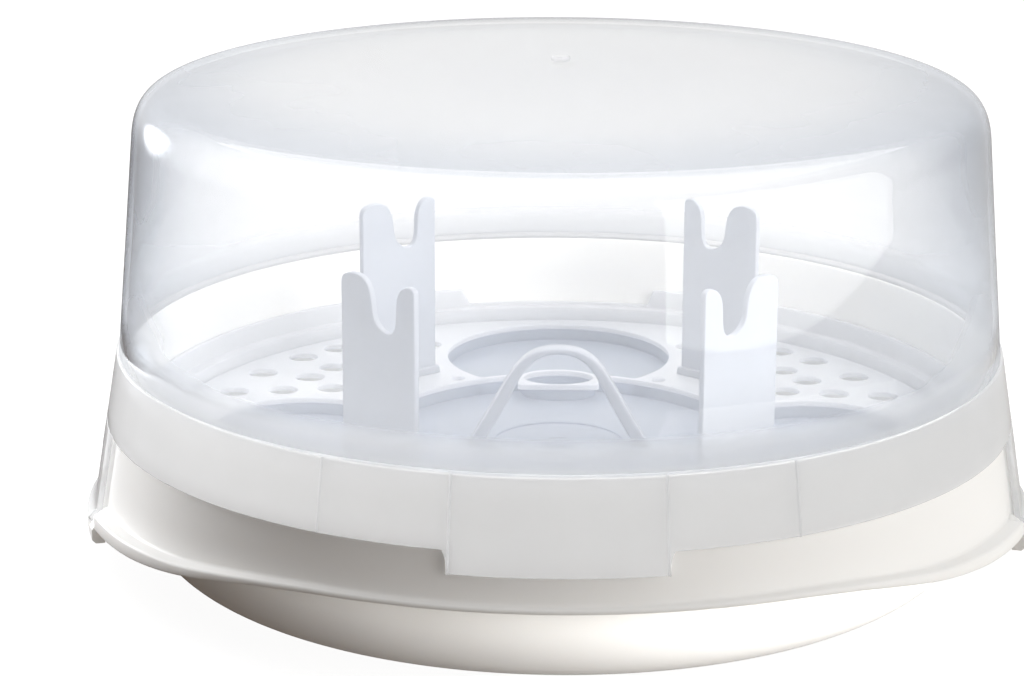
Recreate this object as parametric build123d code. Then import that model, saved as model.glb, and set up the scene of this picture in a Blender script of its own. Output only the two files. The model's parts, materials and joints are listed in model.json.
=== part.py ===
from build123d import *
import os
from math import cos, sin, radians, degrees, atan2, hypot

# Microwave steam sterilizer: water bowl base, bottle rack with four notched
# posts, and a clear domed lid with a frosted collar and two side latches.
# Millimetres. +Z up, origin at the centre of the foot on the table,
# -Y is the front (the long tab of the collar), latches at +X and -X.

# ---- driving dimensions -------------------------------------------------
WALL = 2.0                # general wall of the mouldings
RIM_Z = 64.5              # top of the base's rim, where the lid sits
RIM_R = 135.2             # outer radius of the base's skirt at the rim
FLARE = 0.17              # radial flare per mm of height, skirt and collar
SKIRT_T = 1.8

FOOT_R = 112.0            # flat foot's outer radius
BOWL_ROUND = 20.0         # rounding between foot and wall
BOWL_R = 132.0            # bowl's outer radius above the rounding
SHELF_Z = 39.2            # step that carries the rack
SHELF_R = 131.9           # inner wall radius just above the step

DECK_Z = 36.5             # rack deck, top face
DECK_T = 1.8
WELL_Z = 31.0             # floor of the wells, top face
DECK_R = 125.5
RACK_R = 131.4            # rack's outer radius
RACK_TOP = 47.5           # rack rim's raised parts
RACK_GAP = 42.0           # rack rim's low parts, front and back
GAP_HALF = 33.0
CENTRE_WELL_R = 57.5
SIDE_WELL_R = 29.0        # wells at the left and right
SIDE_WELL_C = 81.0
END_WELL_R = 37.8         # wells at the front and back
END_WELL_C = 81.5
RIDGE_R = 59.3            # outer radius of the ridge between the centre well and the others
VENT = (11.4, 7.6)        # half axes of the oval steam vents that cut through the ridge
VENT_C = 54.0
TAB_X = (45.1, 13.4)      # straight edge of the plate round each vent, its distance and half width
HOLE_R = 4.8              # steam holes
CUSP_HOLE_R = 2.2

POST_T = 2.2              # post plate thickness
POST_IN = (44.2, 57.3)    # inner lobe, first quadrant
POST_OUT = (62.3, 42.2)   # outer lobe, first quadrant
POST_IN_Z = 97.2          # top of the inner lobe
POST_OUT_Z = 98.0         # top of the outer lobe
NOTCH_Z = 81.8            # bottom of the notch between them

HANDLE_Z = 62.8           # top of the lifting arch
HANDLE_D = 6.2            # its depth along Y
HANDLE_T = 1.9            # its thickness at the top

LEDGE_Z = 66.5            # bright step between dome and collar
DOME_R = 136.75           # dome's outer radius at the step
DOME_WALL_TOP = (130.9, 133.5)
SHOULDER_IN = (119.0, 146.6)
CROWN_Z = 154.5
DOME_T = 2.0
GATE_R = 2.6
GATE_H = 1.0

COLLAR_R = 137.5          # collar's outer radius at the step
COLLAR_T = 1.8
COLLAR_Z = 45.0           # collar's lower edge
TAB_HALF = 12.4           # half width of the front and rear tabs, degrees
TAB_Z = 38.5
RIB_H = 0.5

LATCH_HALF = 13.0         # half width of a side latch, degrees
LATCH_TOP = 44.7
LATCH_Z = 14.4
LATCH_T = 1.9
WINDOW_HALF = 7.6         # degrees
WINDOW = (19.6, 35.2)
LUG_HALF = 5.6            # degrees
LUG = (20.3, 29.5)
LUG_H = 2.4
GRIP_IN = 14.3            # degrees, inside faces of the grip's ribs
GRIP_OUT = 16.3
GRIP_R = 148.2
GRIP_Z = (11.0, 13.9)
LIP_X = 148.0             # half width of the base over its lip
LIP_Y = 143.5

# lower edge of the base's skirt: x, z (mirrored about x = 0)
WAVE = [(0, 28.6), (40, 28.5), (66, 28.0), (82, 26.6), (95, 24.3), (108, 21.3),
        (120, 19.0), (132, 17.0), (138, 15.2), (145, 11.2), (152, 9.0)]
LIP_H = [(0, 1.5), (40, 1.6), (66, 1.8), (82, 2.1), (95, 2.7), (108, 3.5),
         (120, 4.4), (132, 4.9), (138, 5.2), (145, 5.4), (152, 5.5)]


def rs(z):
    """Outer radius of the base's skirt at height z."""
    return RIM_R + FLARE * (RIM_Z - z)


def rc(z):
    """Outer radius of the lid's collar at height z."""
    return COLLAR_R + FLARE * (LEDGE_Z - z)


def rl(z):
    """Inner radius of a side latch at height z."""
    return rc(z) - COLLAR_T


def profile(points):
    """Face in the XZ plane from (radius, height) points."""
    return Plane.XZ * make_face(Polyline(*points, close=True))


def ring(points):
    return revolve(profile(points), Axis.Z, 360)


def sector(points, a0, a1):
    """Part of a ring, between two angles counted from +X."""
    return Rot(0, 0, a0) * revolve(profile(points), Axis.Z, a1 - a0)


def shell_face(edges):
    return Plane.XZ * make_face(edges)


def save(shape, name):
    solids = shape.solids()
    shape = solids[0] if len(solids) == 1 else Compound(solids)
    shape.label = name
    export_step(shape, f"parts/{name}.step")
    print(f"{name:20s} {len(solids)} solid  {shape.volume/1000:8.2f} cm3")


os.makedirs("parts", exist_ok=True)

# ---- base: bowl ---------------------------------------------------------
c = (FOOT_R, BOWL_ROUND)
out_arc = [(c[0] + BOWL_ROUND * sin(radians(a)), c[1] - BOWL_ROUND * cos(radians(a)))
           for a in (0, 45, 90)]
ri = BOWL_ROUND - 2.2
in_arc = [(c[0] + ri * sin(radians(a)), c[1] - ri * cos(radians(a))) for a in (90, 45, 0)]
bowl_edges = [
    Polyline((0, 1.0), (102.0, 1.0), (103.0, 0.0), (FOOT_R, 0.0)),
    ThreePointArc(*out_arc),
    Polyline(out_arc[2], (132.7, 38.0), (134.58, 57.0), (134.58, RIM_Z),
             (133.5, RIM_Z), (133.0, RIM_Z - 0.6), (SHELF_R, SHELF_Z),
             (130.4, SHELF_Z), in_arc[0]),
    ThreePointArc(*in_arc),
    Polyline(in_arc[2], (0, 2.2 + 0.6), (0, 1.0)),
]
base_bowl = revolve(shell_face(bowl_edges), Axis.Z, 360)
save(base_bowl, "base_bowl")

# ---- base: outer skirt with its wavy lower edge and lip ------------------
xs = [(-x, z) for x, z in reversed(WAVE[1:])] + WAVE
hs = [h for _, h in reversed(LIP_H[1:])] + [h for _, h in LIP_H]
low_pts = xs
up_pts = [(x, z + h) for (x, z), h in zip(xs, hs)]


def prism(edges):
    return extrude(Plane.XZ * make_face(edges), 170, both=True)


below = prism([Spline(*low_pts),
               Polyline(low_pts[-1], (low_pts[-1][0], -6), (low_pts[0][0], -6), low_pts[0])])
band = prism([Spline(*low_pts), Line(low_pts[-1], up_pts[-1]),
              Spline(*reversed(up_pts)), Line(up_pts[0], low_pts[0])])

skirt = ring([(134.62, RIM_Z), (135.0, RIM_Z), (rs(RIM_Z - 0.5), RIM_Z - 0.5),
              (rs(2), 2), (rs(2) - SKIRT_T, 2), (rs(57) - SKIRT_T, 57), (134.62, 57)])
skirt = skirt - below
core = ring([(0, 2), (rs(2) - 0.9, 2), (rs(60) - 0.9, 60), (0, 60)])
lip = extrude(Ellipse(LIP_X, LIP_Y), 40) & band
lip = lip - core
for a in (0, 180):
    lip = lip - sector([(130, 2), (160, 2), (160, 40), (130, 40)], a - GRIP_OUT, a + GRIP_OUT)
base_skirt = skirt + lip
save(base_skirt, "base_skirt")

# finger grips: a ledge and two ribs round the pocket of each latch
g0, g1 = GRIP_Z


def grip(a):
    ledge = sector([(rs(g1), g1), (GRIP_R, g1), (GRIP_R, g0 + 1.1), (GRIP_R - 1.1, g0),
                    (rs(g0), g0)], a - GRIP_OUT, a + GRIP_OUT)
    rib = [(rs(21), 21), (rs(20) + 2.6, 19.4), (GRIP_R, 15.5), (GRIP_R, g1), (rs(g1), g1)]
    return (ledge + sector(rib, a - GRIP_OUT, a - GRIP_IN)
            + sector(rib, a + GRIP_IN, a + GRIP_OUT))


def lug(a):
    l0, l1 = LUG
    return sector([(rs(l0), l0), (rs(l0) + LUG_H, l0), (rs(l0 + 3.5) + LUG_H, l0 + 3.5),
                   (rs(l1), l1)], a - LUG_HALF, a + LUG_HALF)


for side, a in (("right", 0), ("left", 180)):
    save(grip(a), f"base_grip_{side}")
    save(lug(a), f"base_lug_{side}")

# ---- rack: deck with wells and steam holes -------------------------------
floor_b = WELL_Z - DECK_T
wells = {"right": (SIDE_WELL_C, 0, SIDE_WELL_R), "back": (0, END_WELL_C, END_WELL_R),
         "left": (-SIDE_WELL_C, 0, SIDE_WELL_R), "front": (0, -END_WELL_C, END_WELL_R)}


def cyl(x, y, r, z0, z1):
    return Pos(x, y, z0) * extrude(Circle(r), z1 - z0)


deck = cyl(0, 0, DECK_R, DECK_Z - DECK_T, DECK_Z)
for x, y, r in [(0, 0, CENTRE_WELL_R), *wells.values()]:
    deck = deck + cyl(x, y, r + DECK_T, floor_b, DECK_Z)
pockets = cyl(0, 0, CENTRE_WELL_R, WELL_Z, DECK_Z + 1)
core = cyl(0, 0, RIDGE_R, WELL_Z, DECK_Z + 1)
for x, y, r in wells.values():
    pockets = pockets + (cyl(x, y, r, WELL_Z, DECK_Z + 1) - core)
deck = deck - pockets
# an oval vent over the ridge at each side: a plate level with the deck, and a tube down through the floor
for a in (0, 90, 180, 270):
    top = Pos(VENT_C, 0, DECK_Z - DECK_T) * extrude(Ellipse(VENT[1] + 1.8, VENT[0] + 1.8), DECK_T)
    top = top + Pos((TAB_X[0] + VENT_C) / 2, 0, DECK_Z - DECK_T / 2) * Box(VENT_C - TAB_X[0], 2 * TAB_X[1], DECK_T)
    tube = Pos(VENT_C, 0, floor_b) * extrude(Ellipse(VENT[1] + 1.0, VENT[0] + 1.0), DECK_Z - floor_b)
    hole = Pos(VENT_C, 0, floor_b - 1) * extrude(Ellipse(VENT[1], VENT[0]), DECK_Z - floor_b + 2)
    deck = (deck + Rot(0, 0, a) * (top + tube)) - Rot(0, 0, a) * hole
# raised ring and gate mark on the centre well's floor
deck = deck + ring([(20.6, WELL_Z - 0.5), (21.6, WELL_Z - 0.5), (21.6, WELL_Z + 0.5), (20.6, WELL_Z + 0.5)])
deck = deck + cyl(0, 0, 4.6, WELL_Z - 0.5, WELL_Z + 0.6)
hole_xy = [(82.8, 52.6), (90.5, 37.8), (74.5, 40.2), (75.8, 64.2), (87, 76), (99, 57.2), (106.3, 35.4),
           (64.2, 75.8), (52.6, 82.8), (57.2, 99), (76, 87), (47.5, 69.5), (45.5, 92.5)]
cusp_xy = [(33.4, 52.0), (52.0, 33.4)]
cutters = []
for sx in (1, -1):
    for sy in (1, -1):
        for x, y in hole_xy:
            cutters.append(cyl(sx * x, sy * y, HOLE_R, DECK_Z - DECK_T - 1, DECK_Z + 1))
        for x, y in cusp_xy:
            cutters.append(cyl(sx * x, sy * y, CUSP_HOLE_R, DECK_Z - DECK_T - 1, DECK_Z + 1))
deck = deck - cutters
# the deck's plate, and the five pans of the wells, floor and wall each
pans = {name: cyl(x, y, r + DECK_T, floor_b - 1, DECK_Z + 1) for name, (x, y, r) in wells.items()}
centre_pan = cyl(0, 0, CENTRE_WELL_R + DECK_T, floor_b - 1, DECK_Z + 1)
save(deck - (list(pans.values()) + [centre_pan]), "rack_deck")
save(deck & centre_pan, "rack_well_centre")
for name, pan in pans.items():
    save((deck & pan) - centre_pan, f"rack_well_{name}")

# ---- rack: rim that hangs on the bowl's step -----------------------------
rim = ring([(DECK_R, DECK_Z - DECK_T), (DECK_R + 1.8, DECK_Z - DECK_T), (DECK_R + 1.8, SHELF_Z),
            (RACK_R, SHELF_Z), (RACK_R, RACK_TOP), (RACK_R - 1.8, RACK_TOP),
            (RACK_R - 1.8, SHELF_Z + 1.8), (DECK_R, SHELF_Z + 1.8)])
gap_w = 2 * GAP_HALF
for s in (1, -1):
    rim = rim - Pos(0, s * 130, (RACK_GAP + 60) / 2) * Box(gap_w, 30, 60 - RACK_GAP)
save(rim, "rack_rim")

# ---- rack: four notched posts --------------------------------------------
span = hypot(POST_OUT[0] - POST_IN[0], POST_OUT[1] - POST_IN[1])
angle = degrees(atan2(POST_OUT[1] - POST_IN[1], POST_OUT[0] - POST_IN[0]))
pz, pi_, po = DECK_Z, POST_IN_Z, POST_OUT_Z
outer_lobe = [(26.4, po - 3.0), (25.7, po - 1.4), (24.3, po - 0.5), (22.0, po), (19.6, po - 0.1),
              (17.6, po - 0.7), (16.0, po - 1.9), (14.8, po - 3.8), (14.1, po - 6.2), (13.7, po - 9.0),
              (13.3, po - 11.6)]
notch = [(12.4, NOTCH_Z + 2.6), (10.9, NOTCH_Z + 1.1), (8.9, NOTCH_Z + 0.1), (7.0, NOTCH_Z),
         (5.6, NOTCH_Z + 0.7), (4.7, NOTCH_Z + 2.4), (4.3, NOTCH_Z + 4.8)]
inner_lobe = [(4.1, pi_ - 6.6), (3.7, pi_ - 3.9), (2.5, pi_ - 1.6), (0.9, pi_ - 0.4), (-0.6, pi_),
              (-2.0, pi_ - 0.2), (-3.0, pi_ - 1.0), (-3.2, pi_ - 2.2)]
post_edges = [
    Polyline((-3.2, pi_ - 2.2), (-3.2, pz), (26.4, pz), (26.4, po - 3.0)),
    Spline(*outer_lobe, *notch, *inner_lobe),
]
plate = extrude(Plane.XZ * make_face(post_edges), POST_T / 2, both=True)
foot = Pos(11.6, 0, pz + 1.4) * Box(32.4, 4.0, 2.8)
post = Pos(POST_IN[0], POST_IN[1], 0) * Rot(0, 0, angle) * (plate + foot)
posts = {
    "post_back_right": post,
    "post_back_left": mirror(post, Plane.YZ),
    "post_front_right": mirror(post, Plane.XZ),
    "post_front_left": mirror(mirror(post, Plane.XZ), Plane.YZ),
}
for name, p in posts.items():
    save(p, name)

# ---- rack: lifting arch ---------------------------------------------------
o = [(-28.7, WELL_Z), (-21.0, 44.2), (-14.2, 55.8), (-8.0, 61.3), (0, HANDLE_Z),
     (8.0, 61.3), (14.2, 55.8), (21.0, 44.2), (28.7, WELL_Z)]
i = [(-24.0, WELL_Z), (-17.0, 43.4), (-11.2, 54.4), (-6.3, 59.3), (0, HANDLE_Z - HANDLE_T),
     (6.3, 59.3), (11.2, 54.4), (17.0, 43.4), (24.0, WELL_Z)]
arch = extrude(Plane.XZ * make_face([Spline(*o), Line(o[-1], i[-1]), Spline(*reversed(i)),
                                     Line(i[0], o[0])]), HANDLE_D / 2, both=True)
save(arch, "rack_handle")

# ---- lid: dome -------------------------------------------------------------
wt = DOME_WALL_TOP
si = SHOULDER_IN
dome_edges = [
    Line((DOME_R - DOME_T, LEDGE_Z), (DOME_R, LEDGE_Z)),
    Line((DOME_R, LEDGE_Z), wt),
    Bezier(wt, (130.2, 142.2), (126.6, 146.0), si),
    ThreePointArc(si, (60.5, 152.5), (0, CROWN_Z)),
    Line((0, CROWN_Z), (0, CROWN_Z - DOME_T)),
    ThreePointArc((0, CROWN_Z - DOME_T), (60.3, 150.5), (118.2, si[1] - DOME_T)),
    Bezier((118.2, si[1] - DOME_T), (124.8, 143.9), (128.1, 140.9), (wt[0] - DOME_T, wt[1])),
    Line((wt[0] - DOME_T, wt[1]), (DOME_R - DOME_T, LEDGE_Z)),
]
dome = revolve(shell_face(dome_edges), Axis.Z, 360)
dome = dome + cyl(0, 0, GATE_R, CROWN_Z - 1.0, CROWN_Z + GATE_H)
save(dome, "lid_dome")

# ---- lid: frosted collar with its seat on the base's rim --------------------
collar = ring([(133.6, RIM_Z + 0.1), (rc(RIM_Z + 0.1) - COLLAR_T, RIM_Z + 0.1),
               (rc(COLLAR_Z) - COLLAR_T, COLLAR_Z), (rc(COLLAR_Z), COLLAR_Z),
               (COLLAR_R, LEDGE_Z), (133.6, LEDGE_Z)])
for a in (-90 - TAB_HALF, -90 + TAB_HALF, -90 - 28.3, -90 + 28.3,
          90 - TAB_HALF, 90 + TAB_HALF, 90 - 28.3, 90 + 28.3):
    collar = collar + sector([(rc(COLLAR_Z) - 0.8, COLLAR_Z), (rc(COLLAR_Z) + RIB_H, COLLAR_Z),
                              (rc(LEDGE_Z - 0.8) + RIB_H, LEDGE_Z - 0.8),
                              (rc(LEDGE_Z - 0.8) - 0.8, LEDGE_Z - 0.8)], a - 0.17, a + 0.17)
save(collar, "lid_collar")

# front and rear tabs that run on below the collar, with sloping ends
tab = sector([(rc(COLLAR_Z) - COLLAR_T, COLLAR_Z), (rc(COLLAR_Z), COLLAR_Z),
              (rc(TAB_Z), TAB_Z), (rc(TAB_Z) - COLLAR_T, TAB_Z)],
             -90 - TAB_HALF, -90 + TAB_HALF)
save(tab, "lid_front_tab")
save(Rot(0, 0, 180) * tab, "lid_rear_tab")

# ---- side latches ------------------------------------------------------------
w0, w1 = WINDOW
flap = sector([(rl(LATCH_TOP), LATCH_TOP), (rl(LATCH_TOP) + LATCH_T, LATCH_TOP),
               (rl(18) + LATCH_T, 18.0), (148.0, LATCH_Z + 0.6), (147.4, LATCH_Z),
               (rl(15.0) + 0.2, LATCH_Z)], -LATCH_HALF, LATCH_HALF)
flap = flap - sector([(136, w0), (152, w0), (152, w1), (136, w1)], -WINDOW_HALF, WINDOW_HALF)
save(flap, "latch_right")
save(Rot(0, 0, 180) * flap, "latch_left")
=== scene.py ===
import bpy
import bmesh
import json
import math
from mathutils import Matrix, Vector

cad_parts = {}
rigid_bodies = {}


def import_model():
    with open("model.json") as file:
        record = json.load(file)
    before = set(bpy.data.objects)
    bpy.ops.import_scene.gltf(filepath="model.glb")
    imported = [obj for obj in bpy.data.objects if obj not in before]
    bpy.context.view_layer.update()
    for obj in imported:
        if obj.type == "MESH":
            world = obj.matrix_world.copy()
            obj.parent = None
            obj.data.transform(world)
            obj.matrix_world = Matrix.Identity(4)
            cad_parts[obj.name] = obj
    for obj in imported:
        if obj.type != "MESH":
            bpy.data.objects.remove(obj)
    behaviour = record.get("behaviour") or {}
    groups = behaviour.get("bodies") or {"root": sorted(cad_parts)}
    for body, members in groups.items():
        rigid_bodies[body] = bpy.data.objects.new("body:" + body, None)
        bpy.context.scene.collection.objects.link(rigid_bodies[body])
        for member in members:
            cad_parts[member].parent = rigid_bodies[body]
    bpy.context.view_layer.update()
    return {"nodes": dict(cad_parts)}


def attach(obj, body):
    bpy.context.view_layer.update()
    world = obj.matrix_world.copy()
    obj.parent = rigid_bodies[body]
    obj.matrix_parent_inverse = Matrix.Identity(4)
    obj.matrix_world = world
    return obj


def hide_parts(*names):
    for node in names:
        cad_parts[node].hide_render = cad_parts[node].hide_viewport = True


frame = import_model()
NODES = frame["nodes"]

MM = 0.001

# ------------------------------------------------------------------ sizes (mm)
RIM_Z, RIM_R, FLARE, SKIRT_T = 64.5, 135.2, 0.17, 1.8
FOOT_R, BOWL_ROUND, BOWL_R = 112.0, 20.0, 132.0
SHELF_Z, SHELF_R = 39.2, 131.9
DECK_Z, DECK_T, WELL_Z, DECK_R = 36.5, 1.8, 31.0, 125.5
CENTRE_WELL_R, SIDE_WELL, END_WELL = 57.5, (81.0, 29.0), (81.5, 37.8)
RIDGE_R, VENT, VENT_C, TAB_X = 59.3, (11.4, 7.6), 54.0, (45.1, 13.4)
HOLE_R, CUSP_HOLE_R = 4.8, 2.2
HOLES = [(82.8, 52.6), (90.5, 37.8), (74.5, 40.2), (75.8, 64.2), (87, 76), (99, 57.2), (106.3, 35.4),
         (64.2, 75.8), (52.6, 82.8), (57.2, 99), (76, 87), (47.5, 69.5), (45.5, 92.5)]
CUSP_HOLES = [(33.4, 52.0), (52.0, 33.4)]
RACK_R, RACK_TOP, RACK_GAP, GAP_HALF = 131.4, 47.5, 42.0, 33.0
LEDGE_Z, DOME_R, DOME_T = 66.5, 136.75, 2.0
CROWN_Z, GATE_R, GATE_H = 154.5, 2.6, 1.0
COLLAR_R, COLLAR_T, COLLAR_Z = 137.5, 1.8, 45.0
TAB_HALF, TAB_Z = 12.4, 38.5
LATCH_HALF, LATCH_TOP, LATCH_Z, LATCH_T = 13.0, 44.7, 14.4, 1.9
WINDOW_HALF, WINDOW = 7.6, (19.6, 35.2)
GRIP_OUT, GRIP_R = 16.3, 148.2
LIP_X, LIP_Y = 148.0, 143.5
WAVE = [(0, 28.6), (40, 28.5), (66, 28.0), (82, 26.6), (95, 24.3), (108, 21.3),
        (120, 19.0), (132, 17.0), (138, 15.2), (145, 11.2), (152, 9.0)]
LIP_H = [(0, 1.5), (40, 1.6), (66, 1.8), (82, 2.1), (95, 2.7), (108, 3.5),
         (120, 4.4), (132, 4.9), (138, 5.2), (145, 5.4), (152, 5.5)]


def rs(z):
    return RIM_R + FLARE * (RIM_Z - z)


def rc(z):
    return COLLAR_R + FLARE * (LEDGE_Z - z)


def smooth(a, b, x):
    t = min(max((x - a) / (b - a), 0.0), 1.0)
    return t * t * (3 - 2 * t)


def table(points, x):
    """Smooth value from a table of points, by monotone cubic pieces."""
    x = abs(x)
    if x <= points[0][0]:
        return points[0][1]
    if x >= points[-1][0]:
        return points[-1][1]
    n = len(points)
    d = [(points[i + 1][1] - points[i][1]) / (points[i + 1][0] - points[i][0]) for i in range(n - 1)]
    m = [0.0] + [0.0 if d[i - 1] * d[i] <= 0 else 2 * d[i - 1] * d[i] / (d[i - 1] + d[i])
                 for i in range(1, n - 1)] + [d[-1]]
    for i in range(n - 1):
        if x <= points[i + 1][0]:
            h = points[i + 1][0] - points[i][0]
            t = (x - points[i][0]) / h
            return ((2 * t ** 3 - 3 * t ** 2 + 1) * points[i][1] + (t ** 3 - 2 * t ** 2 + t) * h * m[i]
                    + (-2 * t ** 3 + 3 * t ** 2) * points[i + 1][1] + (t ** 3 - t ** 2) * h * m[i + 1])


# ------------------------------------------------------------------ mesh tools
def rounded(points, radii, steps=5, closed=True):
    """Polygon with rounded corners. points in mm, radii one per corner."""
    out = []
    n = len(points)
    for i, p in enumerate(points):
        r = radii[i] if isinstance(radii, (list, tuple)) else radii
        if r <= 0 or (not closed and i in (0, n - 1)):
            out.append(p)
            continue
        a = Vector(points[i - 1]) - Vector(p)
        b = Vector(points[(i + 1) % n]) - Vector(p)
        la, lb = a.length, b.length
        a.normalize()
        b.normalize()
        ang = a.angle(b)
        if ang > math.pi - 0.02:
            out.append(p)
            continue
        t = min(r / math.tan(ang / 2), 0.48 * la, 0.48 * lb)
        rr = t * math.tan(ang / 2)
        c = Vector(p) + (a + b).normalized() * (rr / math.sin(ang / 2))
        s = Vector(p) + a * t - c
        e = Vector(p) + b * t - c
        sweep = s.angle(e)
        for k in range(steps + 1):
            f = k / steps
            w = (math.sin((1 - f) * sweep) * s + math.sin(f * sweep) * e) / max(math.sin(sweep), 1e-9)
            out.append(tuple(c + w))
    return out


def new_object(name, verts, faces, body, slot, *replaced, flat=False):
    me = bpy.data.meshes.new(name)
    me.from_pydata([tuple(c * MM for c in v) for v in verts], [], faces)
    me.update()
    bm = bmesh.new()
    bm.from_mesh(me)
    bmesh.ops.remove_doubles(bm, verts=bm.verts, dist=1e-7)
    bmesh.ops.recalc_face_normals(bm, faces=bm.faces)
    bm.to_mesh(me)
    bm.free()
    for p in me.polygons:
        p.use_smooth = not flat
    ob = bpy.data.objects.new(name, me)
    bpy.context.scene.collection.objects.link(ob)
    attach(ob, body)
    if replaced:
        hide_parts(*replaced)
    return ob


def lathe(name, pts, body, slot, *replaced, n=288, close=True):
    """Surface of revolution about Z from (radius, height) points."""
    verts, faces, index = [], [], []
    for r, z in pts:
        if r < 1e-6:
            index.append([len(verts)] * n)
            verts.append((0, 0, z))
        else:
            index.append(list(range(len(verts), len(verts) + n)))
            for k in range(n):
                a = 2 * math.pi * k / n
                verts.append((r * math.cos(a), r * math.sin(a), z))
    m = len(pts)
    for i in range(m if close else m - 1):
        j = (i + 1) % m
        for k in range(n):
            l = (k + 1) % n
            q = [index[i][k], index[i][l], index[j][l], index[j][k]]
            f = []
            for v in q:
                if v not in f:
                    f.append(v)
            if len(f) > 2:
                faces.append(f)
    return new_object(name, verts, faces, body, slot, *replaced)


def wrap(name, section, body, slot, *replaced, n=720, a0=None, a1=None):
    """A ring or sector whose section changes with the angle: section(angle) gives (radius, height) points."""
    full = a0 is None
    count = n if full else n + 1
    rows = []
    verts = []
    for k in range(count):
        a = 2 * math.pi * k / n if full else math.radians(a0 + (a1 - a0) * k / n)
        row = []
        for r, z in section(math.degrees(a)):
            row.append(len(verts))
            verts.append((r * math.cos(a), r * math.sin(a), z))
        rows.append(row)
    m = len(rows[0])
    faces = []
    for k in range(n):
        l = (k + 1) % count
        for i in range(m):
            j = (i + 1) % m
            faces.append((rows[k][i], rows[l][i], rows[l][j], rows[k][j]))
    if not full:
        faces.append(tuple(rows[0]))
        faces.append(tuple(reversed(rows[-1])))
    return new_object(name, verts, faces, body, slot, *replaced)


def extruded(name, outline, thick, place, body, slot, *replaced, bevel=0.5, segs=3, extra=None):
    """Outline in a local XZ plane, extruded along local Y, with rounded edges."""
    bm = bmesh.new()
    vs = [bm.verts.new((x * MM, -thick / 2 * MM, z * MM)) for x, z in outline]
    f = bm.faces.new(vs)
    r = bmesh.ops.extrude_face_region(bm, geom=[f])
    up = [v for v in r["geom"] if isinstance(v, bmesh.types.BMVert)]
    bmesh.ops.translate(bm, verts=up, vec=(0, thick * MM, 0))
    bmesh.ops.recalc_face_normals(bm, faces=bm.faces)
    rim = [e for e in bm.edges if len(e.link_faces) == 2
           and any(len(x.verts) > 4 for x in e.link_faces)]
    bmesh.ops.bevel(bm, geom=rim, offset=bevel * MM, segments=segs, profile=0.5, affect="EDGES",
                    clamp_overlap=True)
    bmesh.ops.transform(bm, matrix=place, verts=bm.verts)
    me = bpy.data.meshes.new(name)
    bm.to_mesh(me)
    bm.free()
    for p in me.polygons:
        p.use_smooth = len(p.vertices) == 4
    ob = bpy.data.objects.new(name, me)
    bpy.context.scene.collection.objects.link(ob)
    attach(ob, body)
    if replaced:
        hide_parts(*replaced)
    return ob


def sharp(ob, angle=35):
    """Smooth shading, kept crisp over edges sharper than the angle."""
    me = ob.data
    bm = bmesh.new()
    bm.from_mesh(me)
    for e in bm.edges:
        e.smooth = not (len(e.link_faces) == 2 and e.calc_face_angle(0) > math.radians(angle))
    bm.to_mesh(me)
    bm.free()
    for p in me.polygons:
        p.use_smooth = True


# ------------------------------------------------------------------ materials
def nodes_of(name):
    m = bpy.data.materials.new(name)
    m.use_nodes = True
    nt = m.node_tree
    nt.nodes.clear()
    out = nt.nodes.new("ShaderNodeOutputMaterial")
    return m, nt, out


def add(nt, kind, **values):
    n = nt.nodes.new(kind)
    for k, v in values.items():
        if k in n.inputs:
            n.inputs[k].default_value = v
        else:
            setattr(n, k, v)
    return n


def coords(nt):
    tc = nt.nodes.new("ShaderNodeTexCoord")
    return tc.outputs["Object"]


def noise(nt, scale, detail=4.0, rough=0.55, vec=None, stretch=None):
    n = nt.nodes.new("ShaderNodeTexNoise")
    n.inputs["Scale"].default_value = scale
    n.inputs["Detail"].default_value = detail
    n.inputs["Roughness"].default_value = rough
    v = vec or coords(nt)
    if stretch:
        mp = nt.nodes.new("ShaderNodeMapping")
        mp.inputs["Scale"].default_value = stretch
        nt.links.new(v, mp.inputs["Vector"])
        v = mp.outputs["Vector"]
    nt.links.new(v, n.inputs["Vector"])
    return n.outputs["Fac"]


def remap(nt, value, a, b, c, d, clamp=True):
    n = nt.nodes.new("ShaderNodeMapRange")
    n.clamp = clamp
    n.interpolation_type = "SMOOTHSTEP" if clamp else "LINEAR"
    nt.links.new(value, n.inputs["Value"])
    for k, v in (("From Min", a), ("From Max", b), ("To Min", c), ("To Max", d)):
        n.inputs[k].default_value = v
    return n.outputs["Result"]


def math_node(nt, op, a, b=None, clamp=False):
    n = nt.nodes.new("ShaderNodeMath")
    n.operation = op
    n.use_clamp = clamp
    for i, v in enumerate((a, b)):
        if v is None:
            continue
        if isinstance(v, (int, float)):
            n.inputs[i].default_value = v
        else:
            nt.links.new(v, n.inputs[i])
    return n.outputs[0]


def bump(nt, height, strength, distance):
    n = nt.nodes.new("ShaderNodeBump")
    n.inputs["Strength"].default_value = strength
    n.inputs["Distance"].default_value = distance
    nt.links.new(height, n.inputs["Height"])
    return n.outputs["Normal"]


def mix_colour(nt, fac, a, b):
    n = nt.nodes.new("ShaderNodeMix")
    n.data_type = "RGBA"
    if isinstance(fac, (int, float)):
        n.inputs["Factor"].default_value = fac
    else:
        nt.links.new(fac, n.inputs["Factor"])
    for s, v in (("A", a), ("B", b)):
        sock = [i for i in n.inputs if i.name == s and i.type == "RGBA"][0]
        if isinstance(v, tuple):
            sock.default_value = (*v, 1) if len(v) == 3 else v
        else:
            nt.links.new(v, sock)
    return [o for o in n.outputs if o.type == "RGBA"][0]


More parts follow.
